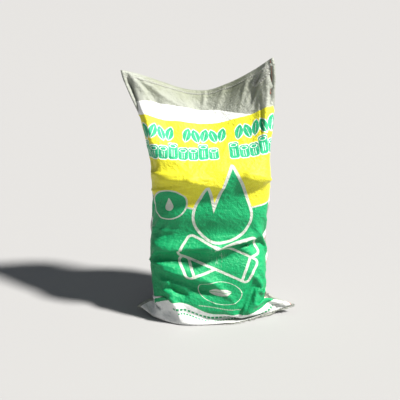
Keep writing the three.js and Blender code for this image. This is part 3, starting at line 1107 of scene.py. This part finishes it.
# The leaves lean to the left and to the right by turns, and one is left out between words.
leaf_number, leaf_across = cells(LEAF_START, LEAF_PITCH)
odd = leaf_number.math("MODULO", 2.0)
leaf_up = Y - LEAF_MIDDLE - 2.5 * (odd - 0.5)
lean = (odd - 0.5) * 0.56
leaf_long, leaf_wide = leaf_up + leaf_across * lean, leaf_across - leaf_up * lean
leaf_icon = leaf_shape(leaf_long, leaf_wide, LEAF_LONG, LEAF_WIDE)
leaf_rib = (leaf_wide.size() - 0.6).most(leaf_long - 13)
beyond_row = 1 - inside((X - 263).size() - ROW_HALF_WIDTH)
no_leaf = is_cell(leaf_number, 4) + is_cell(leaf_number, 10) + beyond_row

# Every third log is taller. Each has a ring for its sawn top and two strokes of bark.
stick_number, stick_across = cells(STICK_START, STICK_PITCH)
tall = 1 - (stick_number.math("MODULO", 3.0)).over(0.5)
stick_half = SHORT_STICK + tall * TALLER
stick_up = Y - STICK_FLOOR - stick_half
stick_a, stick_b = stick_across.size() - 6, stick_up.size() - (stick_half - STICK_CORNER)
stick_icon = length_of(stick_a.most(0), stick_b.most(0)) + stick_a.most(stick_b).least(0) - STICK_CORNER
ring_up = stick_up - (stick_half - 8.5)
stick_ring = (length_of(stick_across / 9.5, ring_up / 5.0) - 1) * 6
stick_bark = (stick_across.size() - 3.2).size() - 0.7
stick_bark = stick_bark.most((stick_up + 6).size() - stick_half * 0.45)
no_stick = is_cell(stick_number, 8) + 1 - inside((X - 259).size() - ROW_HALF_WIDTH)


def small_dashes(x, y, count, pitch, height, filled):
    """A line of small dashes that stands for a line of small print, centred at x and y."""
    dash = ((x / pitch).math("FRACT") - 0.5).size() * pitch - pitch * filled / 2
    return inside(dash.most(y.size() - height / 2).most(x.size() - count * pitch / 2), 0.8)


line_x, line_y = turned(X - 277, Y - 97, -8)
white_dashes = small_dashes(line_x, line_y, 26, 5.2, 3.2, 0.6)
low_rise = Y - green_low
green_dashes = small_dashes(X - 236, low_rise + 24, 18, 12.3, 8.0, 0.7)
green_dashes = green_dashes + small_dashes(X - 262, low_rise + 40, 26, 9.1, 6.0, 0.66)
green_dashes = green_dashes + small_dashes(X - 400, low_rise + 22, 9, 10.7, 8.0, 0.7)
print("the rows hold leaves every", LEAF_PITCH, "mm and upright logs every", STICK_PITCH, "mm")

# %% [markdown]
# ## Weave, wear and gloss
#
# The cloth is a plain weave of flat tapes, about 2.6 millimetres wide, under a thin clear film. Near the
# mouth, where there is no filling, bare cloth is painted greyer and yellower: painted shade of the dark,
# empty inside of the sack showing through. Ink wears off first on the ridges, in fine scratches and specks,
# and the film gives a soft gloss.

# %% Build up the colour
TAPE = 2.6
wave_x, wave_y = (X * (math.pi / TAPE)).math("SINE"), (Y * (math.pi / TAPE)).math("SINE")
weave = wave_x * wave_y
streak = cloth_finish.noise(cloth_finish.stretched(millimetre_place, (0.42, 0.012, 1)), 1.0, 2)
cross_streak = cloth_finish.noise(cloth_finish.stretched(millimetre_place, (0.012, 0.42, 1)), 1.0, 2)
clouds = cloth_finish.noise(millimetre_place, 0.012, 4, 0.6)
speck = cloth_finish.noise(millimetre_place, 0.55, 2, 0.7)

# Near the mouth the bare cloth is mixed towards khaki in cloudy patches. This is painted shade of the dark,
# empty inside of the sack showing through the cloth.
near_mouth = Y.smooth(768, 858)
hollow_shade_share = (near_mouth * (clouds * 1.8 - 0.35)).clamp() * (1 - (X - 250).size().smooth(120, 225))
bare = cloth_finish.mixed(BARE_CLOTH, KHAKI_HOLLOW_SHADE, hollow_shade_share * 0.75)

printed = across_print * is_front
badge_white = line_on(badge, 4.6).most(inside(drop))
oval_white = line_on(oval, 1.8).most(inside(oval_leaf) * (1 - inside(vein))).most(white_dashes)
leaf_share, stick_share = (1 - no_leaf).clamp() * is_front, (1 - no_stick).clamp() * is_front
halo = (inside(leaf_icon - 2.4) * leaf_share).most(inside(stick_icon - 2.6) * stick_share)
leaf_ink = inside(leaf_icon) * (1 - inside(leaf_rib)) * leaf_share
stick_ink = inside(stick_icon) * (1 - line_on(stick_ring, 1.6)) * (1 - inside(stick_bark)) * stick_share

# Each layer is an ink and where it is laid, the lowest first.
layers = [
    (WHITE_INK, white_ground),
    (YELLOW, yellow_ground),
    (GREEN, green_ground),
    (LINE_WHITE, line_on(Y - green_top, BAND_LINE) * printed),
    (GREEN, inside(lower_log) * printed),
    (LINE_WHITE, line_on(lower_log, LOG_LINE).most(lower_cut) * printed),
    (GREEN, inside(upper_log) * printed),
    (LINE_WHITE, line_on(upper_log, LOG_LINE).most(upper_cut) * printed),
    (GREEN, inside(flame) * printed),
    (LINE_WHITE, line_on(flame, OUTLINE) * printed),
    (GREEN, inside(badge) * printed),
    (LINE_WHITE, badge_white * printed),
    (LINE_WHITE, oval_white * printed),
    (WHITE_INK, halo),
    (LETTER_GREEN, leaf_ink.most(stick_ink)),
    (GREEN, green_dashes.clamp() * white_ground * inside(low_rise + 8)),
]
colour = bare
for ink, share in layers:
    colour = cloth_finish.mixed(colour, ink, share)
print(len(layers), "layers of ink are laid on the bare cloth")

# %% Wear the ink, darken the cloth towards the bottom and set the gloss
scratch_noise = cloth_finish.noise(cloth_finish.stretched(millimetre_place, (0.3, 0.03, 1)), 1.0, 4, 0.8)
rub = inside(length_of((X - 280) / 26, (Y - 292) / 42) - 1, 0.8)
worn = scratch_noise.smooth(0.66, 0.72) * 0.35 + speck.smooth(0.73, 0.78) * 0.5
worn = (worn + rub * scratch_noise.smooth(0.56, 0.64) * 0.8).clamp()
colour = cloth_finish.mixed(colour, WHITE_INK, worn * (white_ground.most(printed)) * 0.8)
tone = 0.86 + 0.10 * streak + 0.08 * cross_streak + 0.05 * weave + 0.06 * clouds
# The cloth is darker towards the bottom edge, in cloudy patches.
dark_patches = (1 - Y.smooth(0, 70)) * (0.25 + 0.5 * clouds)
tone = tone * (1 - 0.35 * dark_patches)
shade = cloth_finish.node("ShaderNodeCombineColor", 0, {0: tone, 1: tone, 2: tone})
colour = cloth_finish.node(
    "ShaderNodeMix", 2, {0: 1.0, 6: colour, 7: shade}, data_type="RGBA", blend_type="MULTIPLY"
)
cloth_finish.fill(cloth_finish.shader.inputs["Base Color"], colour)
cloth_finish.shader.inputs["Specular IOR Level"].default_value = 0.35
cloth_finish.fill(cloth_finish.shader.inputs["Roughness"], 0.36 + 0.14 * clouds + 0.08 * streak + 0.2 * worn)

crumple = cloth_finish.noise(millimetre_place, 0.05, 3, 0.55)
ridges = 1 - (crumple * 2 - 1).size()
fine = cloth_finish.noise(millimetre_place, 0.16, 2, 0.5)
height = 0.42 * ridges * ridges + 0.26 * fine + 0.06 * weave + 0.05 * streak
cloth_finish.bumped(height, 5.0)
woven_sack.data.materials.append(cloth_finish.material)
frayed_edge.data.materials.append(cloth_finish.material)
print("the cloth's material has", len(cloth_finish.tree.nodes), "nodes")

# %% [markdown]
# ## Thread, yarn and wood
#
# The sewing thread is a white twisted cotton. Its twist is a slanting ripple, far too fine to model. The
# marker yarn is the same idea in red-orange. The logs can't be seen inside a closed sack, but they are
# still part of the object, so they get bark, bare split wood and end grain.

# %% Make the thread and the yarn
def thread_finish(name, colour, dark):
    """Twisted thread: a slanting ripple, with painted shade in the grooves of the twist, and fluff and grime.
    """
    finish = Finish(name)
    place = finish.node("ShaderNodeTexCoord", 3)
    twist = finish.node("ShaderNodeTexWave", 1, {"Vector": place, "Scale": 700.0, "Distortion": 2.0})
    dark_patches = finish.noise(place, 90.0, 4)
    # The ripple darkens the colour as painted shade in the grooves of the twist, and the noise adds grime.
    darker = (twist * 0.35 + dark_patches * 0.3).clamp()
    finish.fill(finish.shader.inputs["Base Color"], finish.mixed(colour, dark, darker))
    finish.fill(finish.shader.inputs["Roughness"], 0.62 + 0.3 * dark_patches)
    finish.bumped(twist, 0.12)
    return finish.material


thread_material = thread_finish("sewing_thread", from_srgb(226, 228, 222), from_srgb(150, 150, 140))
for piece in (mouth_thread, bottom_thread):
    piece.data.materials.append(thread_material)
marker_material = thread_finish("marker_thread", from_srgb(236, 84, 48), from_srgb(188, 60, 40))
marker_thread.data.materials.append(marker_material)
print("thread and yarn are set")

# %% Make the birch
birch = Finish("birch_log")
wood_place = birch.node("ShaderNodeTexCoord", 3)
grain = birch.noise(birch.stretched(wood_place, (90, 90, 6)), 1.0, 5)
marks = birch.noise(birch.stretched(wood_place, (14, 14, 120)), 1.0, 3)
patches = birch.noise(wood_place, 9.0, 3)
wood = birch.mixed(from_srgb(222, 190, 144), from_srgb(176, 132, 86), grain)
bark = birch.mixed(from_srgb(226, 222, 212), from_srgb(52, 44, 38), marks.smooth(0.60, 0.66))
birch.fill(birch.shader.inputs["Base Color"], birch.mixed(wood, bark, patches.smooth(0.50, 0.54)))
birch.fill(birch.shader.inputs["Roughness"], 0.6 + 0.3 * grain)
birch.bumped(grain * 0.6 + marks * 0.4, 1.2)
for name in log_names:
    log = bpy.data.objects[name]
    log.data.materials.clear()
    log.data.materials.append(birch.material)
print(len(log_names), "logs have birch wood and bark")

# %% [markdown]
# ## Putting the pieces in place
#
# Every new piece rides on the frame's one body, and the CAD sack and its two stitched seams are hidden. The
# sack was cut to twice 508 millimetres round, by 864 between the seams.

# %% Hang each piece on the body and hide the CAD sack and seams
for piece, slot_name in (
    (woven_sack, "woven_cloth"),
    (frayed_edge, "woven_cloth"),
    (mouth_thread, "sewing_thread"),
    (bottom_thread, "sewing_thread"),
    (marker_thread, "marker_thread"),
):
    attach(piece, "root")
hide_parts("sack")
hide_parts("mouth_stitching")
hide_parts("bottom_stitching")
